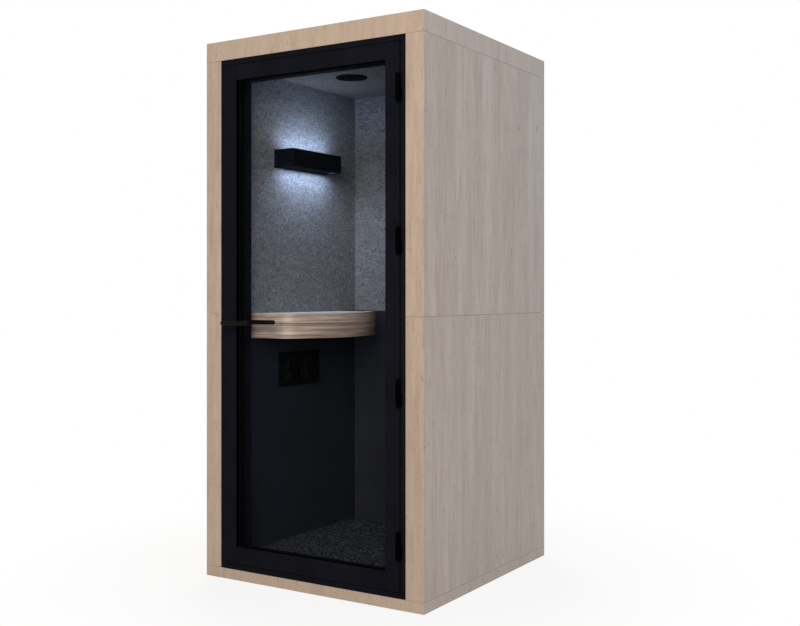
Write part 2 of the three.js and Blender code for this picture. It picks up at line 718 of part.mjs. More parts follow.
// Fan panel: two fan frames behind one guarded plate, each rotor on its own shaft
const FAN_BACK = FIT - FAN_DEPTH;
const FAN_FACE = FIT + FAN_PANEL;
const fanCentres = [-FAN_SIZE / 2, FAN_SIZE / 2];

function fanGuard() {
  const front = [FAN_FACE - GUARD_WIRE, FAN_FACE];
  const back = [FAN_BACK, FAN_BACK + SPIDER];
  const reach = mirrored(FAN_BORE + OVERCUT);
  const ringPitch = (FAN_BORE - GUARD_CAP) / (GUARD_RINGS + 1);
  const rings = Array.from({ length: GUARD_RINGS }, (_, i) => {
    const [inner, outer] = centred(GUARD_CAP + ringPitch * (i + 1), GUARD_WIRE);
    const [low, high] = front;
    const profile = [[inner, low], [outer, low], [outer, high], [inner, high], [inner, low]];
    return sideways(turned(profile, ROUND));
  });
  return join(
    sideways(rod(GUARD_CAP, front, ROUND)),
    block(front, reach, centred(0, GUARD_WIRE)),
    block(front, centred(0, GUARD_WIRE), reach),
    ...rings,
    sideways(rod(GUARD_CAP, back, ROUND)),
    block(back, reach, centred(0, SPIDER_ARM)),
    block(back, centred(0, SPIDER_ARM), reach),
    sideways(rod(SHAFT, [FAN_BACK, FAN_BACK + SPIDER + SHAFT_RISE], SMALL_ROUND)),
  );
}

function rotor() {
  const low = FAN_BACK + SPIDER + FIT;
  const middle = low + HUB_DEPTH / 2;
  const root = HUB - BLADE_THICK * 2;
  const blades = Array.from({ length: BLADES }, (_, i) =>
    block(centred(0, BLADE_THICK), [root, BLADE_TIP], centred(0, BLADE_CHORD))
      .rotateY(BLADE_PITCH)
      .rotateX((i * Math.PI * 2) / BLADES)
      .translate(middle, 0, 0));
  const hub = sideways(rod(HUB, [low, low + HUB_DEPTH], ROUND));
  const bore = sideways(rod(SHAFT + FIT, [low - OVERCUT, low + SHAFT_RISE], SMALL_ROUND));
  return cut(join(hub, ...blades), bore);
}

function fans() {
  const plateHalf = FAN_SIZE / 2 + FAN_PANEL_EDGE;
  const plate = block([FIT, FAN_FACE], mirrored(FAN_SIZE + FAN_PANEL_SIDE), mirrored(plateHalf));
  const frames = block([FAN_BACK, FIT + OVERCUT], mirrored(FAN_SIZE), mirrored(FAN_SIZE / 2));
  const bores = fanCentres.map((y) =>
    sideways(rod(FAN_BORE, [FAN_BACK - OVERCUT, FAN_FACE + OVERCUT], ROUND)).translate(0, y, 0));
  const guards = fanCentres.map((y) => fanGuard().translate(0, y, 0));
  const panel = join(cut(join(plate, frames), ...bores), ...guards);
  return assembly(
    piece('fan_panel', panel, blackPlastic, [-INNER_X, 0, FAN_MIDDLE]),
    ...fanCentres.map((y, i) =>
      piece(`fan_rotor_${i + 1}`, rotor(), blackPlastic, [-INNER_X, y, FAN_MIDDLE])),
  );
}

const LEAF_MIDDLE = (LEAF_LOW + LEAF_HIGH) / 2;
const hingeRow = spread(HINGES, HINGE_PITCH).map((offset, i) => hinge(i + 1, LEAF_MIDDLE + offset));

export default assembly(
  floor(),
  sideWall('left', -1),
  sideWall('right', 1),
  backWall(),
  roof(),
  airValve(),
  doorFrame(),
  doorLeaf(),
  ...hingeRow,
  handle(),
  desk(),
  lamp(),
  fans(),
);
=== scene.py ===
import functools
import json
import math

import bmesh
import bpy
from mathutils import Matrix, Vector, noise


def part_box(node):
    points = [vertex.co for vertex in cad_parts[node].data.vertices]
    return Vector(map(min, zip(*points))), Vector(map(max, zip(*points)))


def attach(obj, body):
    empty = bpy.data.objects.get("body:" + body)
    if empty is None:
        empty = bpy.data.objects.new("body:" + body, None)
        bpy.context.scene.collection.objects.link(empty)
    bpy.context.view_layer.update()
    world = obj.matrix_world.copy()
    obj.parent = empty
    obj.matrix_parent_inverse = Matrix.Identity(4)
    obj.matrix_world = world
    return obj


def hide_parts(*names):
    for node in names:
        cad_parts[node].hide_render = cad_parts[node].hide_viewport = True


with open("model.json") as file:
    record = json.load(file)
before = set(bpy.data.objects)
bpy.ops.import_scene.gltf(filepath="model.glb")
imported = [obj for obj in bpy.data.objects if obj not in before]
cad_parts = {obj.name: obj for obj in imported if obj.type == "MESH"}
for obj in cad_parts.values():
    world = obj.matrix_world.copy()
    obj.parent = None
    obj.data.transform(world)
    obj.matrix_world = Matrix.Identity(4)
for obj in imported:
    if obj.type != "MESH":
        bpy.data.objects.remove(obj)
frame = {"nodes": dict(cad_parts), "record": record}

MM = 0.001
WELD = 0.01 * MM
QUARTER_TURN = math.radians(90)
FULL_TURN = 2 * math.pi
X, Y, Z = (Vector(axis) for axis in Matrix.Identity(3))
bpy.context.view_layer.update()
record = frame["record"]
body_of = {node: body for body, nodes in record["behaviour"]["bodies"].items() for node in nodes}
slot_of = {part["node"]: part["material_slot"] for part in record["subparts"]}


# Camera: level, at chest height, to the right of the door
CAMERA_SPOT = (2.403, -3.7, 1.12)
CAMERA_YAW = math.radians(32.02)
CAMERA_LENS = 48.36
CAMERA_SENSOR = 36
CAMERA_SHIFT = -0.0266


def set_camera():
    data = bpy.data.cameras.new("camera")
    data.lens = CAMERA_LENS
    data.sensor_width = CAMERA_SENSOR
    data.shift_y = CAMERA_SHIFT
    camera = bpy.data.objects.new("camera", data)
    camera.location = CAMERA_SPOT
    camera.rotation_euler = (QUARTER_TURN, 0, CAMERA_YAW)
    bpy.context.scene.collection.objects.link(camera)
    bpy.context.scene.camera = camera


# Node building. A colour mix has several sockets of one name, so its share, colours and result go by number.
SHARE, UNDER, OVER, MIXED = 0, 6, 7, 2


def linear(code):
    """A hex sRGB colour as linear RGBA."""
    parts = [int(code[i:i + 2], 16) / 255 for i in (1, 3, 5)]
    return [p / 12.92 if p <= 0.04045 else ((p + 0.055) / 1.055) ** 2.4 for p in parts] + [1.0]


def add(tree, kind, inputs=None, out=0, stops=(), **settings):
    """Adds a shader node with its settings, stops, values and links, and returns one of its outputs."""
    made = tree.nodes.new("ShaderNode" + kind)
    for name, value in settings.items():
        setattr(made, name, value)
    if stops:
        points = made.color_ramp.elements
        points.remove(points[1])
        points[0].position = stops[0][0]
        points[0].color = linear(stops[0][1])
        for place, code in stops[1:]:
            points.new(place).color = linear(code)
    for key, value in (inputs or {}).items():
        if isinstance(value, bpy.types.NodeSocket):
            tree.links.new(value, made.inputs[key])
        else:
            made.inputs[key].default_value = value
    return made.outputs[out] if made.outputs else made


def start(name):
    """An empty node material and the call that adds nodes to it."""
    material = bpy.data.materials.new(name)
    material.use_nodes = True
    material.node_tree.nodes.clear()
    return material, functools.partial(add, material.node_tree)


def per(size_mm):
    """The texture scale at which a blotch is about size_mm wide."""
    return 1 / (size_mm * MM)


# Oak veneer under satin lacquer: pale, with long soft streaks, a few broad brown ones, fine dark pores,
# small knots and a faint pink cast. Real pores are under half a millimetre wide, so they are drawn wider.
OAK_TONES = ("#a59687", "#afa092", "#b8ab9d")
SLAB_TONES = ("#ac9d8f", "#b3a496", "#b8aa9d")
# The desk top's oak, paled almost to white: painted light for the lamp's light on the desk top.
DESK_PAINTED_LIGHT_TONES = ("#eceaea", "#f3f2f2", "#f9f9fa")
GRAIN_DRAW = (0.05, 0.11, 0.4)


def oak_veneer(name, grain, shift, tones=OAK_TONES):
    material, put = start(name)
    place = put("TexCoord", out="Object")
    veneer, dashes, flecks = (
        put("Mapping", {
            "Vector": place, "Location": shift,
            "Scale": [draw if axis == grain else 1.0 for axis in range(3)],
        })
        for draw in GRAIN_DRAW
    )
    leaves = put("TexNoise", {"Vector": veneer, "Scale": per(60), "Detail": 3.0})
    streak = put("TexNoise", {"Vector": dashes, "Scale": per(16), "Detail": 4.0, "Roughness": 0.62})
    figure = put("TexNoise", {"Vector": dashes, "Scale": per(34), "Detail": 2.0, "Distortion": 0.4})
    pores = put("TexNoise", {"Vector": dashes, "Scale": per(3.8), "Detail": 2.0})
    knots = put("TexNoise", {"Vector": flecks, "Scale": per(26), "Detail": 2.0, "Roughness": 0.6})
    both = put("Mix", {SHARE: 0.5, UNDER: leaves, OVER: streak}, MIXED, data_type="RGBA")
    tone = put("ValToRGB", {"Fac": both}, stops=list(zip((0.34, 0.5, 0.66), tones)))
    for pattern, low, high, most, tint in (
        (figure, 0.58, 0.74, 0.3, "#dccbbd"),
        (pores, 0.6, 0.72, 0.5, "#cdbcae"),
        (knots, 0.68, 0.78, 0.6, "#c8aa90"),
    ):
        mask = put("MapRange", {"Value": pattern, "From Min": low, "From Max": high, "To Max": most})
        tone = put(
            "Mix", {SHARE: mask, UNDER: tone, OVER: linear(tint)}, MIXED,
            data_type="RGBA", blend_type="MULTIPLY",
        )
    satin = put("MapRange", {
        "Value": streak, "From Min": 0.3, "From Max": 0.7, "To Min": 0.5, "To Max": 0.62,
    })
    skin = put("Bump", {"Height": pores, "Strength": 0.15, "Distance": 0.3 * MM})
    shader = put("BsdfPrincipled", {
        "Base Color": tone, "Roughness": satin, "Specular IOR Level": 0.2, "Normal": skin,
    })
    put("OutputMaterial", {"Surface": shader})
    return material


# Coats and mouldings that are nearly black: a fine grit carries the tone, the sheen and the relief. Each row
# gives the dark and the pale tone, the grit in mm, the specular level, the roughness and the relief in mm.
DARK_FINISHES = {
    # Sprayed lacquer on wood: an even blue-black, almost without shine
    "black_lacquer": ("#111319", "#161820", 3, 0.006, 0.6, 0.1),
    # Near black on the leaf's inner edges: painted shade for the recess between the leaf and the frame
    "painted_shade_black": ("#010102", "#030304", 3, 0.003, 0.8, 0.1),
    # Stained fibreboard: blue-black and faintly clouded
    "stained_mdf": ("#1b1f29", "#232732", 6, 0.08, 0.85, 0.15),
    # The same board painted a shade paler: painted light for the back wall, which gets more light than the
    # side walls
    "stained_mdf_painted_light": ("#252831", "#2d303a", 6, 0.08, 0.85, 0.15),
    # Powder coat on sheet steel: fine pimples and a soft shine
    "powder_coated_steel": ("#090d13", "#0f141b", 1.2, 0.02, 0.5, 0.12),
    # Satin coat on the cast handles: a warm black with a soft highlight
    "satin_black_coat": ("#110f11", "#181517", 1.2, 0.03, 0.45, 0.1),
    # Steel blacked in an oxide bath: dense and even
    "black_oxide_steel": ("#010102", "#030304", 1.2, 0.004, 0.5, 0.1),
    # ABS from an etched mould: black with a fine matt grain
    "moulded_abs": ("#020304", "#050709", 1.6, 0.012, 0.6, 0.1),
    # Filled polyamide: dark grey with a dull, mottled skin
    "moulded_polyamide": ("#20262e", "#2a3039", 2, 0.04, 0.5, 0.1),
    # Extruded rubber: dull black
    "epdm_rubber": ("#060607", "#0c0c0d", 6, 0.04, 0.82, 0.1),
    # Open-cell foam, black and pitted, lining the air path behind the fans; its black stands in for the
    # shade there
    "acoustic_foam_painted_shade": ("#08080a", "#101012", 2.5, 0.02, 0.95, 0.8),
}


def dark_finish(name):
    dark, pale, grit_mm, level, rough, relief_mm = DARK_FINISHES[name]
    material, put = start(name)
    place = put("TexCoord", out="Object")
    grit = put("TexNoise", {"Vector": place, "Scale": per(grit_mm), "Detail": 3.0})
    cloud = put("TexNoise", {"Vector": place, "Scale": per(90), "Detail": 2.0})
    both = put("Mix", {SHARE: 0.5, UNDER: grit, OVER: cloud}, MIXED, data_type="RGBA")
    tone = put("ValToRGB", {"Fac": both}, stops=[(0.35, dark), (0.65, pale)])
    sheen = put("MapRange", {
        "Value": both, "From Min": 0.3, "From Max": 0.7, "To Min": rough - 0.05, "To Max": rough + 0.07,
    })
    skin = put("Bump", {"Height": grit, "Strength": 0.25, "Distance": relief_mm * MM})
    shader = put("BsdfPrincipled", {
        "Base Color": tone, "Roughness": sheen, "Specular IOR Level": level, "Normal": skin,
    })
    put("OutputMaterial", {"Surface": shader})
    return material


# Zinc-plated steel: bright grey with soft blotches and a fine drawn grain.
def zinc_plate():
    material, put = start("zinc_plate")
    place = put("TexCoord", out="Object")
    drawn_way = put("Mapping", {"Vector": place, "Scale": (1, 1, 0.08)})
    spangle = put("TexNoise", {"Vector": place, "Scale": per(5), "Detail": 3.0})
    drawn = put("TexNoise", {"Vector": drawn_way, "Scale": per(0.8), "Detail": 2.0})
    tone = put("ValToRGB", {"Fac": spangle}, stops=[(0.3, "#a3a6a9"), (0.7, "#c2c4c6")])
    sheen = put("MapRange", {
        "Value": drawn, "From Min": 0.3, "From Max": 0.7, "To Min": 0.28, "To Max": 0.45,
    })
    skin = put("Bump", {"Height": drawn, "Strength": 0.1, "Distance": 0.05 * MM})
    shader = put("BsdfPrincipled", {
        "Base Color": tone, "Metallic": 1.0, "Roughness": sheen, "Normal": skin,
    })
    put("OutputMaterial", {"Surface": shader})
    return material


# Needle-punched PET felt: pale and dark fibres that read as heathered grey, with a soft sheen.
# Single fibres are too fine to show, so the heather is drawn in tufts of 7 and 17 mm, and dark and pale
# fibres as loose curls: thin bands where a noise crosses its middle value, broken up by another noise.
# A row of strands gives the curl and the break in mm, the band's width, how it blends, and its tint.
FELT_STRANDS = (
    (17, 8, 0.036, "MULTIPLY", "#9fa0a6"),
    (8, 9, 0.06, "MULTIPLY", "#c4c5ca"),
    (11, 12, 0.05, "SCREEN", "#3c3d42"),
)


def needle_felt(name, dark, middle, pale):
    material, put = start(name)
    place = put("TexCoord", out="Object")
    lie = put("Mapping", {"Vector": place, "Scale": (0.38, 0.38, 1)})
    loose = put("Mapping", {"Vector": place, "Location": (2, 5, 1), "Scale": (0.7, 0.7, 1)})
    tufts = put("TexNoise", {"Vector": lie, "Scale": per(17), "Detail": 6.0, "Roughness": 0.78})
    fibres = put("TexNoise", {"Vector": lie, "Scale": per(7), "Detail": 4.0, "Roughness": 0.7})
    mixed = put("Mix", {SHARE: 0.5, UNDER: tufts, OVER: fibres}, MIXED, data_type="RGBA")
    tone = put("ValToRGB", {"Fac": mixed}, stops=[(0.38, dark), (0.5, middle), (0.62, pale)])
    for curl_mm, break_mm, width, blend, tint in FELT_STRANDS:
        curl = put("TexNoise", {"Vector": loose, "Scale": per(curl_mm), "Detail": 2.0})
        breaks = put("TexNoise", {"Vector": place, "Scale": per(break_mm), "Detail": 1.0})
        past = put("Math", {0: curl, 1: 0.5}, operation="SUBTRACT")
        away = put("Math", {0: past}, operation="ABSOLUTE")
        band = put("MapRange", {
            "Value": away, "From Min": 0.2 * width, "From Max": width, "To Min": 1.0, "To Max": 0.0,
        })
        kept = put("MapRange", {"Value": breaks, "From Min": 0.48, "From Max": 0.57})
        strand = put("Math", {0: band, 1: kept}, operation="MULTIPLY")
        tone = put(
            "Mix", {SHARE: strand, UNDER: tone, OVER: linear(tint)}, MIXED,
            data_type="RGBA", blend_type=blend,
        )
    nap = put("Bump", {"Height": mixed, "Strength": 0.5, "Distance": 1.5 * MM})
    shader = put("BsdfPrincipled", {
        "Base Color": tone, "Roughness": 0.95, "Specular IOR Level": 0.1, "Normal": nap,
        "Sheen Weight": 0.1, "Sheen Roughness": 0.6,
    })
    put("OutputMaterial", {"Surface": shader})
    return material


# Loop-pile nylon carpet: charcoal loops flecked with black and grey yarn.
# The loops are 6 mm apart. The flecks are drawn as clusters of loops, so that they show from the door.
def loop_carpet():
    material, put = start("loop_pile_nylon")
    place = put("TexCoord", out="Object")
    loops = put("TexVoronoi", {"Vector": place, "Scale": per(6)}, "Distance")
    yarn = put("TexVoronoi", {"Vector": place, "Scale": per(6)}, "Color")
    cluster = put("TexNoise", {"Vector": place, "Scale": per(11), "Detail": 5.0, "Roughness": 0.8})
    ply = put("SeparateColor", {"Color": yarn})
    fleck = put("Mix", {SHARE: 0.3, UNDER: cluster, OVER: ply}, MIXED, data_type="RGBA")
    tone = put("ValToRGB", {"Fac": fleck}, stops=[
        (0.38, "#161a20"), (0.5, "#313640"), (0.58, "#464d59"), (0.66, "#5a616c"),
    ])
    pile = put("Bump", {"Height": loops, "Strength": 0.6, "Distance": 1.5 * MM}, invert=True)
    shader = put("BsdfPrincipled", {
        "Base Color": tone, "Roughness": 0.95, "Specular IOR Level": 0.05, "Normal": pile,
    })
    put("OutputMaterial", {"Surface": shader})
    return material


# Woods that show their layers or figure along one way, under a thin oil or lacquer: birch plywood with faint
# pale lines, and bent laminate with brown and cream stripes.
PLYWOOD_STOPS = ((0.3, "#b39771"), (0.7, "#cdb592"))
LAMINATE_STOPS = ((0.38, "#8b7569"), (0.46, "#a38e83"), (0.52, "#bdada2"), (0.62, "#dbd1c9"))


def figured_wood(name, way, size_mm, stops, rough):
    material, put = start(name)
    place = put("TexCoord", out="Object")
    run = put("Mapping", {"Vector": place, "Scale": way})
    shorter = [2.5 * share if share < 1 else share for share in way]
    fine_run = put("Mapping", {"Vector": place, "Location": (3, 1, 2), "Scale": shorter})
    plies = put("TexNoise", {"Vector": run, "Scale": per(size_mm), "Detail": 4.0, "Roughness": 0.65})
    fine = put("TexNoise", {"Vector": fine_run, "Scale": per(size_mm / 3), "Detail": 3.0})
    mixed = put("Mix", {SHARE: 0.35, UNDER: plies, OVER: fine}, MIXED, data_type="RGBA")
    tone = put("ValToRGB", {"Fac": mixed}, stops=stops)
    sheen = put("MapRange", {
        "Value": mixed, "From Min": 0.3, "From Max": 0.7, "To Min": rough - 0.06, "To Max": rough + 0.08,
    })
    skin = put("Bump", {"Height": fine, "Strength": 0.15, "Distance": 0.2 * MM})
    shader = put("BsdfPrincipled", {
        "Base Color": tone, "Roughness": sheen, "Specular IOR Level": 0.3, "Normal": skin,
    })
    put("OutputMaterial", {"Surface": shader})
    return material


# Mineral wool: matted pale fibres.
def mineral_wool():
    material, put = start("mineral_wool")
    place = put("TexCoord", out="Object")
    lie = put("Mapping", {"Vector": place, "Scale": (1, 1, 0.3)})
    matted = put("TexNoise", {"Vector": lie, "Scale": per(6), "Detail": 5.0, "Roughness": 0.75})
    tone = put("ValToRGB", {"Fac": matted}, stops=[(0.3, "#7f7c70"), (0.7, "#a9a597")])
    nap = put("Bump", {"Height": matted, "Strength": 0.8, "Distance": 2 * MM})
    shader = put("BsdfPrincipled", {
        "Base Color": tone, "Roughness": 1.0, "Specular IOR Level": 0.05, "Normal": nap,
    })
    put("OutputMaterial", {"Surface": shader})
    return material


# Opal acrylic lit from inside by cool white diodes: a soft glow on a skin that is a little uneven.
def opal_acrylic():
    material, put = start("opal_acrylic")
    place = put("TexCoord", out="Object")
    diodes = put("TexNoise", {"Vector": place, "Scale": per(25), "Detail": 1.0})
    tone = put("ValToRGB", {"Fac": diodes}, stops=[(0.3, "#dfecff"), (0.7, "#f2f7ff")])
    shader = put("BsdfPrincipled", {
        "Base Color": tone, "Roughness": 0.45,
        "Emission Color": linear("#e8f1ff"), "Emission Strength": 1.5,
    })
    put("OutputMaterial", {"Surface": shader})
    return material


# Laminated safety glass with an anti-reflective coat: clear, a trace of blue-green, a sidelong gloss.
def clear_glass():
    material, put = start("laminated_glass")
    facing = put("LayerWeight", {"Blend": 0.5}, "Facing")
    curve = put("Math", {0: facing, 1: 5.0}, operation="POWER")
    gloss = put("MapRange", {"Value": curve, "To Min": 0.0005, "To Max": 0.6})
    through = put("BsdfTransparent", {"Color": linear("#fafcfd")})
    mirror = put("BsdfAnisotropic", {"Color": linear("#ffffff"), "Roughness": 0.02})
    pane = put("MixShader", {0: gloss, 1: through, 2: mirror})
    put("OutputMaterial", {"Surface": pane})
    return material


# Shapes
SHARP_EDGE = math.radians(40)
FLAT_EDGE = math.radians(0.5)


def round_over(bm, ease, segments=2, least=0.0, chosen=None):
    """Rounds the edges that are sharp and longer than the least, or only the chosen ones."""
    sharp = chosen or [
        e for e in bm.edges
        if len(e.link_faces) == 2 and e.calc_face_angle() > SHARP_EDGE and e.calc_length() > least
    ]
    bmesh.ops.bevel(
        bm, geom=sharp, offset=ease, offset_type="OFFSET", segments=segments,
        profile=0.5, affect="EDGES", clamp_overlap=True, material=-1,
    )
    bmesh.ops.dissolve_degenerate(bm, dist=WELD, edges=bm.edges)
    return bm


def board(low, high, ease, segments=2):
    """A rounded-over board between two corners."""
    bm = bmesh.new()
    place = Matrix.Translation((low + high) / 2) @ Matrix.Diagonal((*(high - low), 1))
    bmesh.ops.create_cube(bm, size=1, matrix=place)
    return round_over(bm, ease, segments)


def eased(node, ease, segments=2, least=0.0):
    """A merged copy of a CAD node with its edges rounded over, for shapes with cut-outs."""
    bm = bmesh.new()
    bm.from_mesh(frame["nodes"][node].data)
    bmesh.ops.remove_doubles(bm, verts=bm.verts, dist=WELD)
    bmesh.ops.dissolve_limit(bm, angle_limit=FLAT_EDGE, verts=bm.verts, edges=bm.edges)
    return round_over(bm, ease, segments, least)


def turned(profile, steps, place):
    """A lathe shape from pairs of radius and rise, moved to its place."""
    bm = bmesh.new()
    verts = [bm.verts.new((radius, 0, rise)) for radius, rise in profile]
    edges = [bm.edges.new(pair) for pair in zip(verts, verts[1:])]
    bmesh.ops.spin(
        bm, geom=verts + edges, cent=(0, 0, 0), axis=Z, angle=FULL_TURN, steps=steps, use_merge=True,
    )
    bmesh.ops.remove_doubles(bm, verts=bm.verts, dist=WELD)
    bmesh.ops.recalc_face_normals(bm, faces=bm.faces)
    bmesh.ops.transform(bm, matrix=place, verts=bm.verts)
    return bm


def points_in(geom):
    return [g for g in geom if isinstance(g, bmesh.types.BMVert)]


def edges_in(bm, points):
    """The edges whose two ends are both among the points."""
    ring = set(points)
    return [e for e in bm.edges if set(e.verts) <= ring]


class Sweep:
    """A section, or one point, carried along straight runs and bends."""

    def __init__(self, section):
        self.bm = bmesh.new()
        self.start = self.end = [self.bm.verts.new(p) for p in section]
        if len(section) > 2:
            for pair in zip(self.end, self.end[1:] + self.end[:1]):
                self.bm.edges.new(pair)

    def front(self):
        return self.end + edges_in(self.bm, self.end)

    def along(self, way):
        return self.grow(bmesh.ops.spin(
            self.bm, geom=self.front(), cent=(0, 0, 0), axis=Z, dvec=way, angle=0, steps=1,
        ))

    def round(self, centre, angle, steps, rise=Vector()):
        return self.grow(bmesh.ops.spin(
            self.bm, geom=self.front(), cent=centre, axis=Z, dvec=rise, angle=angle, steps=steps,
        ))

    def grow(self, result):
        self.end = points_in(result["geom_last"])
        return self

    def middle(self):
        return sum((v.co for v in self.end), Vector()) / len(self.end)

    def narrow(self, share):
        space = Matrix.Translation(-self.middle())
        bmesh.ops.scale(self.bm, vec=(share,) * 3, space=space, verts=self.end)
        return self

    def turn(self, angle):
        turning = Matrix.Rotation(angle, 3, "Z")
        bmesh.ops.rotate(self.bm, cent=self.middle(), matrix=turning, verts=self.end)
        return self

    def closed(self):
        for ring in (self.start, self.end):
            bmesh.ops.contextual_create(self.bm, geom=edges_in(self.bm, ring))
        bmesh.ops.recalc_face_normals(self.bm, faces=self.bm.faces)
        return self.bm

    def filled(self, rise):
        """The plan that a swept point drew, closed and grown along the rise."""
        self.bm.edges.new((self.start[0], self.end[0]))
        face = bmesh.ops.contextual_create(self.bm, geom=list(self.bm.edges))["faces"]
        grown = bmesh.ops.extrude_face_region(self.bm, geom=face)["geom"]
        bmesh.ops.translate(self.bm, vec=rise, verts=points_in(grown))
        bmesh.ops.recalc_face_normals(self.bm, faces=self.bm.faces)
        return self.bm


def gathered(*shapes):
    """One mesh that holds several shapes."""
    whole = bmesh.new()
    for shape in shapes:
        holder = bpy.data.meshes.new("shape")
        shape.to_mesh(holder)
        shape.free()
        whole.from_mesh(holder)
        bpy.data.meshes.remove(holder)
    return whole


SCREW_SINK = 0.2 * MM
SCREW_DOME = ((1, 0.25), (0.93, 0.55), (0.75, 0.85), (0.55, 1))
SCREW_STEPS = 24
SOCKET_REACH = 0.45
SOCKET_DEPTH = 0.6


def screw(seat, way, radius, rise):
    """A domed screw head with a hexagon socket, on a face that looks along way."""
    dome = [(across * radius, up * rise) for across, up in SCREW_DOME]
    bm = turned([(0, -SCREW_SINK), (radius, -SCREW_SINK)] + dome, SCREW_STEPS, Matrix())
    mouth = [e for e in bm.edges if e.is_boundary]
    ring = Matrix.Translation(rise * Z)
    corners = bmesh.ops.create_circle(bm, segments=6, radius=SOCKET_REACH * radius, matrix=ring)["verts"]
    hexagon = edges_in(bm, corners)
    bmesh.ops.bridge_loops(bm, edges=mouth + hexagon)
    sunk = bmesh.ops.extrude_edge_only(bm, edges=hexagon)["geom"]
    bmesh.ops.translate(bm, vec=-SOCKET_DEPTH * rise * Z, verts=points_in(sunk))
    bmesh.ops.contextual_create(bm, geom=[e for e in bm.edges if e.is_boundary])
    bmesh.ops.recalc_face_normals(bm, faces=bm.faces)
    aim = Z.rotation_difference(way).to_matrix().to_4x4()
    bmesh.ops.transform(bm, matrix=Matrix.Translation(seat) @ aim, verts=bm.verts)
    return bm


def finished(bm, *nodes, body=None, name=None, slot=None, finish=None, smooth=None, second=None):
    """Makes the mesh a piece that stands for its CAD nodes, or a named extra piece on a body.

    A second finish comes with a test that picks its faces by their normals.
    """
    lead = nodes[0] if nodes else None
    name = name or f"finished_{lead}"
    slot = slot or slot_of[lead]
    mesh = bpy.data.meshes.new(name)
    mesh.materials.append(finish or finishes[slot])
    bm.normal_update()
    if second:
        other, picks = second
        mesh.materials.append(other)
        for face in bm.faces:
            face.material_index = int(picks(face.normal))
    for face in bm.faces:
        face.smooth = smooth is not None
    bm.to_mesh(mesh)
    bm.free()
    if smooth is not None:
        mesh.set_sharp_from_angle(angle=math.radians(smooth))
    piece = bpy.data.objects.new(name, mesh)
    bpy.context.scene.collection.objects.link(piece)
    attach(piece, body or body_of[lead])
    if nodes:
        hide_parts(*nodes)
    return piece


def make_screws(name, slot, seats, radius, rise):
    """Screw heads on a face of the cabin that looks along X, as one piece."""
    heads = gathered(*(screw(seat, X, radius, rise) for seat in seats))
    finished(heads, body="cabin", name=name, slot=slot, smooth=30)


SQUARE_ON = 0.7


def looks_up_or_down(normal):
    return abs(normal.z) > SQUARE_ON


def looks_along(way, normal):
    return normal.dot(way) > SQUARE_ON


# Walls, base and roof
VENEER_EASE = 0.3 * MM
LINING_EASE = 0.6 * MM
FELT_EASE = 2.5 * MM
CEILING_EASE = 1.5 * MM
CORE_EASE = 3 * MM


def make_cabin():
    flat = oak_veneer("oak_veneer_top", 1, (0.3, 0.1, 0.7))
    slab = oak_veneer("oak_veneer_slab", 2, (0.4, 0.9, 0.2), SLAB_TONES)
    lower = oak_veneer("oak_veneer_lower", 2, (0.7, 0.3, 0.5))
    # The back wall's lining gets a paler copy of the side walls' board as painted light.
    back_board_painted_light = dark_finish("stained_mdf_painted_light")
    for node in ("base_platform", "roof_casing"):
        finished(eased(node, VENEER_EASE), node, finish=slab, second=(flat, looks_up_or_down))
    for wall in ("left", "right", "back"):
        for storey, finish in (("lower", lower), ("upper", None)):
            casing = f"{wall}_wall_{storey}_casing"
            finished(eased(casing, VENEER_EASE), casing, finish=finish)
        felt = f"{wall}_felt_panel"
        finished(board(*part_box(felt), FELT_EASE, 3), felt)
        lining = f"{wall}_lower_lining"
        finished(eased(lining, LINING_EASE), lining, finish=back_board_painted_light if wall == "back" else None)
    finished(eased("ceiling_panel", CEILING_EASE, 3), "ceiling_panel")
    for core in ("left_wall_core", "right_wall_core", "back_wall_core", "roof_core"):
        finished(eased(core, CORE_EASE, 3), core)


# Carpet tile: loops stand up from a grid at uneven heights
LOOP_PITCH = 4.2 * MM
LOOP_DROP = 2.6 * MM
LOOP_SEED = 5


def make_carpet():
    low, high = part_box("carpet_tile")
    size = high - low
    middle = (low + high) / 2
    bm = bmesh.new()
    bmesh.ops.create_grid(
        bm, x_segments=round(size.x / LOOP_PITCH), y_segments=round(size.y / LOOP_PITCH), size=0.5,
        matrix=Matrix.Translation((middle.x, middle.y, high.z)) @ Matrix.Diagonal((size.x, size.y, 1, 1)),
    )
    noise.seed_set(LOOP_SEED)
    for vert in bm.verts:
        vert.co.z -= LOOP_DROP * noise.random()
    rim = bmesh.ops.extrude_edge_only(bm, edges=[e for e in bm.edges if e.is_boundary])["geom"]
    for vert in points_in(rim):
        vert.co.z = low.z
    bmesh.ops.contextual_create(bm, geom=[e for e in bm.edges if e.is_boundary])
    bmesh.ops.recalc_face_normals(bm, faces=bm.faces)
    finished(bm, "carpet_tile", smooth=60)


# Door frame, seal, leaf, glass and hinges
FRAME_EASE = 0.8 * MM
LEAF_EASE = 1 * MM
SEAL_EASE = 0.5 * MM
GLASS_EASE = 0.8 * MM
HINGE_EASE = 1 * MM
HINGES = 4


def make_door():
    blacked = dark_finish("black_oxide_steel")
    reveal_shade = dark_finish("painted_shade_black")
    for node in ("jamb_latch_side", "jamb_hinge_side", "door_head", "door_sill"):
        finished(eased(node, FRAME_EASE), node)
    # The leaf's inner edges get a near black as painted shade for the recess they face.
    for node, inward in (
        ("stile_latch_side", X), ("stile_hinge_side", -X), ("door_top_rail", -Z), ("door_bottom_rail", Z),
    ):
        finished(eased(node, LEAF_EASE, 3), node, second=(reveal_shade, functools.partial(looks_along, inward)))
    for node in ("door_seal", "glazing_gasket"):
        finished(eased(node, SEAL_EASE), node)
    finished(board(*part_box("door_glass"), GLASS_EASE), "door_glass")
    for number in range(1, HINGES + 1):
        for half in ("frame", "leaf"):
            node = f"hinge_{number}_{half}_half"
            finished(eased(node, HINGE_EASE, 3), node, smooth=30, finish=blacked)


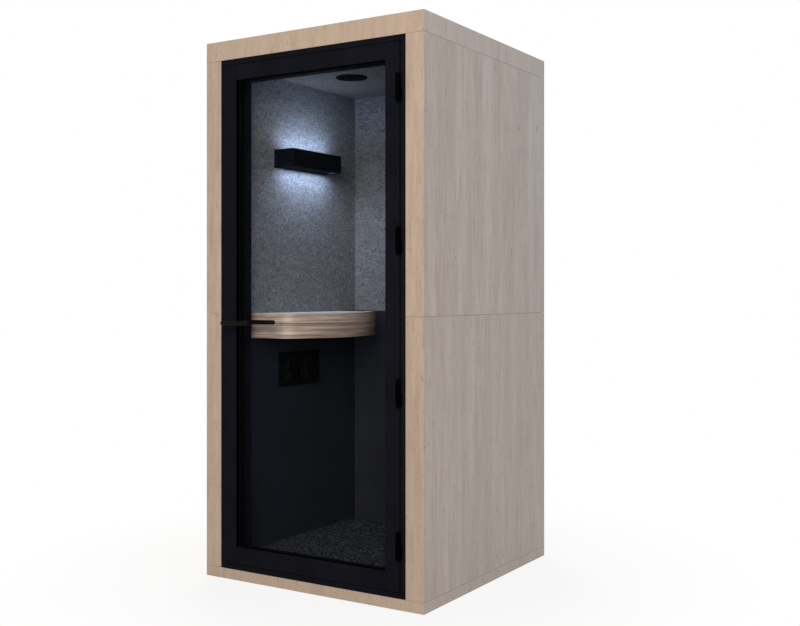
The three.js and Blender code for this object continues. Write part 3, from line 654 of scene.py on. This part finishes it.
# Lever handles on round roses, with the spindle between them and the latch. A rose's rim goes by its inset
# and rise, and the dish around the lever's collar by its two gaps.
LEVER = 9 * MM
LEVER_COLLAR = 11 * MM
LEVER_GAP = 0.3 * MM
LEVER_BEND = 16 * MM
LEVER_TIP = 7.5 * MM
LEVER_STEPS = 32
COLLAR_RISE = 5 * MM
BEND_STEPS = 12
TIP_STEPS = 6
ROSE_THICK = 8 * MM
ROSE_RIM = ((0, 5 * MM), (0.6 * MM, 6.6 * MM), (2.4 * MM, ROSE_THICK))
ROSE_STEPS = 64
DISH_DEPTH = 1 * MM
DISH_MOUTH = 1.6 * MM
DISH_FLOOR = 1.2 * MM
SPINDLE_HALF = 4 * MM
SPINDLE_BORE = 6 * MM
SPINDLE_EASE = 0.5 * MM
SPINDLE_FRONT = 5 * MM
SPINDLE_BACK = 15 * MM
STRIKE_EASE = 0.4 * MM
STRIKE_INSET = 12 * MM
STRIKE_SCREW = (4.5 * MM, 0.5 * MM)
BOLT_EASE = 0.8 * MM


def make_rose(side, way, finish):
    low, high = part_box(f"rose_{side}")
    middle = (low + high) / 2
    face = low.y if way < 0 else high.y
    radius = (high.x - low.x) / 2
    floor = ROSE_THICK - DISH_DEPTH
    profile = [(SPINDLE_BORE, 0), (radius, 0)]
    profile += [(radius - inset, rise) for inset, rise in ROSE_RIM]
    profile += [(LEVER_COLLAR + DISH_MOUTH, ROSE_THICK), (LEVER_COLLAR + DISH_FLOOR, floor)]
    profile += [(SPINDLE_BORE, floor), (SPINDLE_BORE, 0)]
    turn = Matrix.Rotation(-way * QUARTER_TURN, 4, "X")
    seat = Matrix.Translation((middle.x, face - way * ROSE_THICK, middle.z)) @ turn
    finished(turned(profile, ROSE_STEPS, seat), f"rose_{side}", smooth=35, finish=finish)
    return Vector((middle.x, face, middle.z))


def make_lever(side, way, rose, finish):
    low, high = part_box(f"lever_{side}")
    out = way * Y
    stand = abs((low.y if way < 0 else high.y) - rose.y) - LEVER
    neck = Vector((rose.x, rose.y + way * LEVER_GAP, rose.z))
    ring = [
        neck + LEVER_COLLAR * (math.cos(angle) * X + math.sin(angle) * Z)
        for angle in (FULL_TURN * i / LEVER_STEPS for i in range(LEVER_STEPS))
    ]
    bend = stand - LEVER_BEND - LEVER_GAP
    bar = Sweep(ring).along(COLLAR_RISE * out).narrow(LEVER / LEVER_COLLAR)
    bar.along((bend - COLLAR_RISE) * out)
    bar.round(neck + bend * out + LEVER_BEND * X, -way * QUARTER_TURN, BEND_STEPS)
    bar.along((high.x - rose.x - LEVER_BEND) * X)
    tip = list(bar.end)
    bm = bar.closed()
    round_over(bm, LEVER_TIP, TIP_STEPS, chosen=edges_in(bm, tip))
    finished(bm, f"lever_{side}", smooth=35, finish=finish)


def make_handles():
    coat = dark_finish("satin_black_coat")
    for side, way in (("outer", -1), ("inner", 1)):
        make_lever(side, way, make_rose(side, way, coat), coat)
    low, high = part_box("rose_outer")
    middle = (low + high) / 2
    reach = Vector((SPINDLE_HALF, 0, SPINDLE_HALF))
    front = Vector((middle.x, low.y - SPINDLE_FRONT, middle.z))
    back = Vector((middle.x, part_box("rose_inner")[1].y + SPINDLE_BACK, middle.z))
    finished(
        board(front - reach, back + reach, SPINDLE_EASE),
        body="lever", name="handle_spindle", slot="zinc_plate",
    )
    finished(eased("strike_plate", STRIKE_EASE), "strike_plate")
    low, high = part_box("strike_plate")
    rises = (low.z + STRIKE_INSET, high.z - STRIKE_INSET)
    seats = [Vector((high.x, (low.y + high.y) / 2, z)) for z in rises]
    make_screws("strike_plate_screws", "zinc_plate", seats, *STRIKE_SCREW)
    finished(eased("latch_bolt", BOLT_EASE), "latch_bolt")


# Desk: a bow-fronted board inside a bent laminated band, on a plywood cleat
DESK_CORNER = 60 * MM
DESK_BOW = 100 * MM
DESK_EASE = 0.6 * MM
CORNER_STEPS = 14
BOW_STEPS = 40
BAND_THICK = 15 * MM
BAND_EASE = 1.5 * MM
CLEAT_EASE = 1 * MM
CLEAT_PLACES = (-200 * MM, 0, 200 * MM)
CLEAT_SCREW = (5 * MM, 2.8 * MM)


def make_desk():
    low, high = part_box("desk_band")
    half = high.y
    bow = (half ** 2 + DESK_BOW ** 2) / (2 * DESK_BOW)
    bow_centre = high.x - bow
    corner_y = half - DESK_CORNER
    corner_x = bow_centre + math.sqrt((bow - DESK_CORNER) ** 2 - corner_y ** 2)
    bend = math.atan2(corner_y, corner_x - bow_centre)

    def led(sweep):
        sweep.along((corner_x - low.x) * X)
        sweep.round((corner_x, -corner_y, 0), QUARTER_TURN - bend, CORNER_STEPS)
        sweep.round((bow_centre, 0, 0), 2 * bend, BOW_STEPS)
        sweep.round((corner_x, corner_y, 0), QUARTER_TURN - bend, CORNER_STEPS)
        return sweep.along((low.x - corner_x) * X)

    section = [(low.x, y, z) for y, z in (
        (-half, low.z), (-half + BAND_THICK, low.z), (-half + BAND_THICK, high.z), (-half, high.z),
    )]
    finished(round_over(led(Sweep(section)).closed(), BAND_EASE, 3), "desk_band", smooth=40)
    top_low, top_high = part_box("desk_board")
    corner = Vector((low.x, top_low.y, top_low.z))
    top = led(Sweep([corner])).filled((top_high.z - top_low.z) * Z)
    finished(round_over(top, DESK_EASE), "desk_board", smooth=40)
    low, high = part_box("desk_cleat")
    finished(board(low, high, CLEAT_EASE), "desk_cleat")
    seats = [Vector((high.x, y, (low.z + high.z) / 2)) for y in CLEAT_PLACES]
    make_screws("desk_cleat_screws", "zinc_plate", seats, *CLEAT_SCREW)


# Fan rotors: seven twisted blades on a round hub. Half a blade's section goes by its place along the chord
# and its half thickness in mm, and the hub's rounded rim by its inset and its drop from the front.
FAN_PITCH = 120 * MM
BLADES = 7
BLADE_ROOT = 17 * MM
BLADE_TIP = 52.5 * MM
BLADE_STEPS = 6
BLADE_FLARE = 1.06
BLADE_PITCH = math.radians(46)
BLADE_TWIST = math.radians(20)
BLADE_CHORD = 14 * MM
BLADE_BOW = 1.5 * MM
BLADE_HALF = ((-0.5, 0.3), (-0.3, 0.8), (0, 0.9), (0.3, 0.6), (0.5, 0.2))
HUB = 20 * MM
HUB_DEPTH = 14 * MM
HUB_CHAMFER = 0.8 * MM
HUB_RIM = ((0, 2 * MM), (0.6 * MM, 0.8 * MM), (2.2 * MM, 0))
HUB_STEPS = 48
CAP = 9 * MM
CAP_SINK = 0.6 * MM
SHAFT_HOLE = 2.3 * MM
SHAFT_REACH = 11 * MM


def fan_rotor(node, axle, finish):
    slant = Matrix.Rotation(BLADE_PITCH, 3, "Z")
    sides = list(BLADE_HALF) + [(share, -half) for share, half in reversed(BLADE_HALF)]
    blade = Sweep([
        axle + BLADE_ROOT * Z
        + slant @ Vector((BLADE_BOW * (1 - 4 * share ** 2) + half * MM, BLADE_CHORD * share, 0))
        for share, half in sides
    ])
    for _ in range(BLADE_STEPS):
        blade.along((BLADE_TIP - BLADE_ROOT) / BLADE_STEPS * Z)
        blade.turn(-BLADE_TWIST / BLADE_STEPS).narrow(BLADE_FLARE)
    bm = blade.closed()
    bmesh.ops.spin(
        bm, geom=bm.verts[:] + bm.edges[:] + bm.faces[:], cent=axle, axis=X, use_duplicate=True,
        angle=FULL_TURN * (BLADES - 1) / BLADES, steps=BLADES - 1,
    )
    profile = [(0, SHAFT_REACH), (SHAFT_HOLE, SHAFT_REACH), (SHAFT_HOLE, 0)]
    profile += [(HUB - HUB_CHAMFER, 0), (HUB, HUB_CHAMFER)]
    profile += [(HUB - inset, HUB_DEPTH - drop) for inset, drop in HUB_RIM]
    profile += [(CAP, HUB_DEPTH), (CAP - CAP_SINK, HUB_DEPTH - CAP_SINK), (0, HUB_DEPTH - CAP_SINK)]
    seat = Matrix.Translation(axle - HUB_DEPTH / 2 * X) @ Matrix.Rotation(QUARTER_TURN, 4, "Y")
    finished(gathered(bm, turned(profile, HUB_STEPS, seat)), node, smooth=35, finish=finish)


# Levelling foot: a dished pad and a threaded stem. The pad goes by its inset from the rim and its rise.
PAD_DISH = 0.8 * MM
PAD_OUTLINE = (
    (7 * MM, PAD_DISH), (6 * MM, 0), (1.2 * MM, 0), (0, 1.2 * MM), (0, 4.2 * MM), (1.4 * MM, 5.6 * MM),
)
PAD_SHOULDER = 11 * MM
PAD_RISE = 8 * MM
FOOT_STEPS = 48
STEM = 6 * MM
STEM_CHAMFER = 1 * MM
THREAD_DEPTH = 1 * MM
THREAD_PITCH = 1.75 * MM
THREAD_CREST = 0.45 * THREAD_PITCH
THREAD_WIDTH = 0.9 * THREAD_PITCH
THREAD_ROOT = 0.1 * MM
THREAD_LIFT = 0.2 * MM
THREAD_STEPS = 16
THREAD_TURNS = 14


def levelling_foot(node):
    low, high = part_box(node)
    foot = Vector(((low.x + high.x) / 2, (low.y + high.y) / 2, low.z))
    pad = high.x - foot.x
    core = STEM - THREAD_DEPTH
    top = high.z - low.z
    profile = [(0, PAD_DISH)] + [(pad - inset, rise) for inset, rise in PAD_OUTLINE]
    profile += [(PAD_SHOULDER, PAD_RISE), (core, PAD_RISE), (core, top - STEM_CHAMFER)]
    profile += [(core - STEM_CHAMFER, top), (0, top)]
    body = turned(profile, FOOT_STEPS, Matrix.Translation(foot))
    first = foot.z + PAD_RISE + THREAD_LIFT
    root = foot.x + core - THREAD_ROOT
    thread = Sweep([
        (root, foot.y, first),
        (foot.x + STEM, foot.y, first + THREAD_CREST),
        (root, foot.y, first + THREAD_WIDTH),
    ])
    rise = THREAD_PITCH / THREAD_STEPS * Z
    thread.round(foot, FULL_TURN * THREAD_TURNS, THREAD_STEPS * THREAD_TURNS, rise)
    finished(gathered(body, thread.closed()), node, smooth=30)


# Cable gland: a flanged rubber bush with a blind hole. The groove and the hole's mouth go by their offset
# from the bush and from the hole, and by their depth below the face.
BUSH = 12 * MM
FLANGE_THICK = 3 * MM
FLANGE_CHAMFER = 0.8 * MM
GROOVE = ((1.5 * MM, 0), (0.8 * MM, 1 * MM), (-0.6 * MM, 1 * MM), (-1.5 * MM, 0.2 * MM))
CABLE_HOLE = 4 * MM
HOLE_MOUTH = ((0.6 * MM, 0.2 * MM), (0, 0.8 * MM))
HOLE_FLOOR = 3 * MM
GLAND_STEPS = 48


def cable_gland():
    low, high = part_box("cable_gland")
    middle = (low + high) / 2
    flange = high.x - middle.x
    depth = high.y - low.y
    back = depth - FLANGE_THICK
    profile = [(0, 0), (BUSH, 0), (BUSH, back), (flange, back)]
    profile += [(flange, depth - FLANGE_CHAMFER), (flange - FLANGE_CHAMFER, depth)]
    profile += [(BUSH + offset, depth - below) for offset, below in GROOVE]
    profile += [(CABLE_HOLE + offset, depth - below) for offset, below in HOLE_MOUTH]
    profile += [(CABLE_HOLE, HOLE_FLOOR), (0, HOLE_FLOOR)]
    seat = Matrix.Translation((middle.x, low.y, middle.z)) @ Matrix.Rotation(-QUARTER_TURN, 4, "X")
    finished(turned(profile, GLAND_STEPS, seat), "cable_gland", smooth=30)


# Lamp, fan panel with its screws, rotors and a black foam lining of painted shade, air valve, gland and feet
SLEEVE_EASE = 0.8 * MM
GUIDE_SINK = 1 * MM
GUIDE_EASE = 1 * MM
PANEL_EASE = 0.8 * MM
PANEL_EDGE = 100 * MM
PANEL_INSET = 10 * MM
PANEL_SCREW = (4.2 * MM, 2.4 * MM)
FOAM_THICK = 6 * MM
FOAM_DROP = 310 * MM
FOAM_GAP = 1 * MM
FOAM_EASE = 1.5 * MM
VALVE_EASE = 1 * MM


def make_fans():
    finished(eased("fan_panel", PANEL_EASE, least=PANEL_EDGE), "fan_panel")
    low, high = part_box("fan_panel")
    middle = (low + high) / 2
    seats = [
        Vector((high.x, y, z))
        for y in (low.y + PANEL_INSET, high.y - PANEL_INSET)
        for z in (low.z + PANEL_INSET, high.z - PANEL_INSET)
    ]
    make_screws("fan_panel_screws", "black_steel", seats, *PANEL_SCREW)
    polyamide = dark_finish("moulded_polyamide")
    rotor_low, rotor_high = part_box("fan_rotor_1")
    for number, side in ((1, -0.5), (2, 0.5)):
        axle = Vector(((rotor_low.x + rotor_high.x) / 2, middle.y + side * FAN_PITCH, middle.z))
        fan_rotor(f"fan_rotor_{number}", axle, polyamide)
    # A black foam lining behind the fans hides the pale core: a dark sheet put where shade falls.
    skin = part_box("left_wall_core")[0].x
    lined = skin + FOAM_THICK
    mouth = low.x - FOAM_GAP
    bottom = middle.z - FOAM_DROP
    top = middle.z + FAN_PITCH / 2
    edge = FAN_PITCH - FOAM_THICK
    linings = [((skin, -FAN_PITCH, bottom), (lined, FAN_PITCH, top))]
    linings += [((lined, side, bottom), (mouth, side + FOAM_THICK, top)) for side in (-FAN_PITCH, edge)]
    linings += [((lined, -edge, top - FOAM_THICK), (mouth, edge, top))]
    finished(
        gathered(*(board(Vector(a), Vector(b), FOAM_EASE, 3) for a, b in linings)),
        body="cabin", name="duct_foam_painted_shade", slot="black_rubber", finish=dark_finish("acoustic_foam_painted_shade"),
    )


def make_fittings():
    finished(eased("lamp_sleeve", SLEEVE_EASE), "lamp_sleeve")
    low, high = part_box("lamp_light_guide")
    finished(board(low + GUIDE_SINK * Z, high - GUIDE_SINK * Z, GUIDE_EASE), "lamp_light_guide")
    make_fans()
    finished(eased("valve_ring", VALVE_EASE, 3), "valve_ring", smooth=30)
    finished(eased("valve_disc", VALVE_EASE, 3), "valve_disc", smooth=30)
    cable_gland()
    for end in ("front", "back"):
        for side in ("left", "right"):
            levelling_foot(f"foot_{end}_{side}")


# Stage: a white floor that keeps a soft shadow, a white surround, and soft lamps
FLOOR_RADIUS = 9
FLOOR_STEPS = 96
SURROUND_STRENGTH = 0.25
GLOW_SHIFT = 36 * MM
GLOW_SINK_UP = 5 * MM
GLOW_SINK_DOWN = 6 * MM


def plain_rays(put):
    """The rays that find plain white: the camera's own, and those that gloss or glass sends on."""
    seen = put("LightPath", out="Is Camera Ray")
    mirrored = put("LightPath", out="Is Glossy Ray")
    passed = put("LightPath", out="Is Transmission Ray")
    either = put("Math", {0: seen, 1: mirrored}, operation="MAXIMUM")
    return put("Math", {0: either, 1: passed}, operation="MAXIMUM")


def make_floor():
    bm = bmesh.new()
    bmesh.ops.create_circle(bm, cap_ends=True, radius=FLOOR_RADIUS, segments=FLOOR_STEPS)
    mesh = bpy.data.meshes.new("floor")
    bm.to_mesh(mesh)
    bm.free()
    floor = bpy.data.objects.new("floor", mesh)
    bpy.context.scene.collection.objects.link(floor)
    material, put = start("studio_floor")
    mesh.materials.append(material)
    place = put("TexCoord", out="Object")
    far = put("VectorMath", {0: place}, "Value", operation="LENGTH")
    fade = put("MapRange", {
        "Value": far, "From Min": 0.75, "From Max": 1.5, "To Min": 0.86, "To Max": 1.0,
    })
    share = put("Math", {0: plain_rays(put), 1: fade}, operation="MULTIPLY")
    matte = put("BsdfDiffuse", {"Color": linear("#e8e8e6")})
    white = put("Emission", {"Color": linear("#ffffff"), "Strength": 1.0})
    put("OutputMaterial", {"Surface": put("MixShader", {0: share, 1: matte, 2: white})})


def make_surround():
    world = bpy.data.worlds.new("surround")
    bpy.context.scene.world = world
    world.use_nodes = True
    world.node_tree.nodes.clear()
    put = functools.partial(add, world.node_tree)
    soft = put("Background", {"Color": linear("#ffffff"), "Strength": SURROUND_STRENGTH})
    white = put("Background", {"Color": linear("#ffffff"), "Strength": 1.0})
    put("OutputWorld", {"Surface": put("MixShader", {0: plain_rays(put), 1: soft, 2: white})})


# A lamp's row gives its place and target in metres, width and length, spread in degrees, power in watts and
# colour. The two glows shine out of the wall lamp.
def make_lamps():
    low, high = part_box("lamp_sleeve")
    lamp = (low + high) / 2
    over = Vector((lamp.x, lamp.y + GLOW_SHIFT, high.z - GLOW_SINK_UP))
    under = Vector((lamp.x, lamp.y + GLOW_SHIFT, low.z + GLOW_SINK_DOWN))
    lamps = [
        ("key", (2.9, -6.4, 3.3), (-0.1, 0, 1.0), 3.8, 3.8, 180, 378, "#ffeedd"),
        ("side", (5.8, -0.2, 3.0), (0.3, 0, 1.0), 3.5, 3.5, 180, 131, "#a9d0ff"),
        ("rear", (-3.8, 4.6, 3.4), (0, 0, 1.0), 3.5, 3.5, 180, 330, "#fff8f0"),
        ("glow_up", over, over + Z, 0.03, 0.32, 164, 0.82, "#dbe9ff"),
        ("glow_down", under, under - Z, 0.03, 0.32, 164, 0.89, "#dbe9ff"),
    ]
    for name, place, target, width, length, spread, power, code in lamps:
        data = bpy.data.lights.new(name, "AREA")
        data.shape = "RECTANGLE"
        data.size = width
        data.size_y = length
        data.spread = math.radians(spread)
        data.energy = power
        data.color = linear(code)[:3]
        light = bpy.data.objects.new(name, data)
        light.location = place
        way = Vector(target) - Vector(place)
        light.rotation_euler = way.to_track_quat("-Z", "Y").to_euler()
        light.visible_camera = False
        bpy.context.scene.collection.objects.link(light)


set_camera()
finishes = {
    "oak_veneer": oak_veneer("oak_veneer_upper", 2, (0, 0, 0)),
    "plywood": figured_wood("birch_plywood", (1, 0.06, 1), 12, PLYWOOD_STOPS, 0.7),
    "mineral_wool": mineral_wool(),
    "grey_felt": needle_felt("needle_felt", "#5e636d", "#747984", "#8c919b"),
    "dark_board": dark_finish("stained_mdf"),
    # The ceiling's felt is the walls' grey felt in darker tones: painted shade for the unlit ceiling.
    "ceiling_felt": needle_felt("ceiling_felt", "#3d3e43", "#4a4b50", "#5a5a5d"),
    "carpet": loop_carpet(),
    "black_lacquer": dark_finish("black_lacquer"),
    "black_steel": dark_finish("powder_coated_steel"),
    "black_plastic": dark_finish("moulded_abs"),
    "black_rubber": dark_finish("epdm_rubber"),
    "zinc_plate": zinc_plate(),
    "desk_laminate": figured_wood("bent_laminate", (0.014, 0.009, 1), 10, LAMINATE_STOPS, 0.44),
    # The desk top is oak grain paled almost to white, as painted light.
    "desk_veneer": oak_veneer("oak_veneer_painted_light", 1, (0.5, 0.2, 0.1), DESK_PAINTED_LIGHT_TONES),
    "opal_acrylic": opal_acrylic(),
    "clear_glass": clear_glass(),
}
for node, slot in slot_of.items():
    for holder in frame["nodes"][node].material_slots:
        holder.link = "OBJECT"
        holder.material = finishes[slot]
make_cabin()
make_carpet()
make_door()
make_handles()
make_desk()
make_fittings()
bpy.context.scene.view_settings.view_transform = "Standard"
make_floor()
make_surround()
make_lamps()
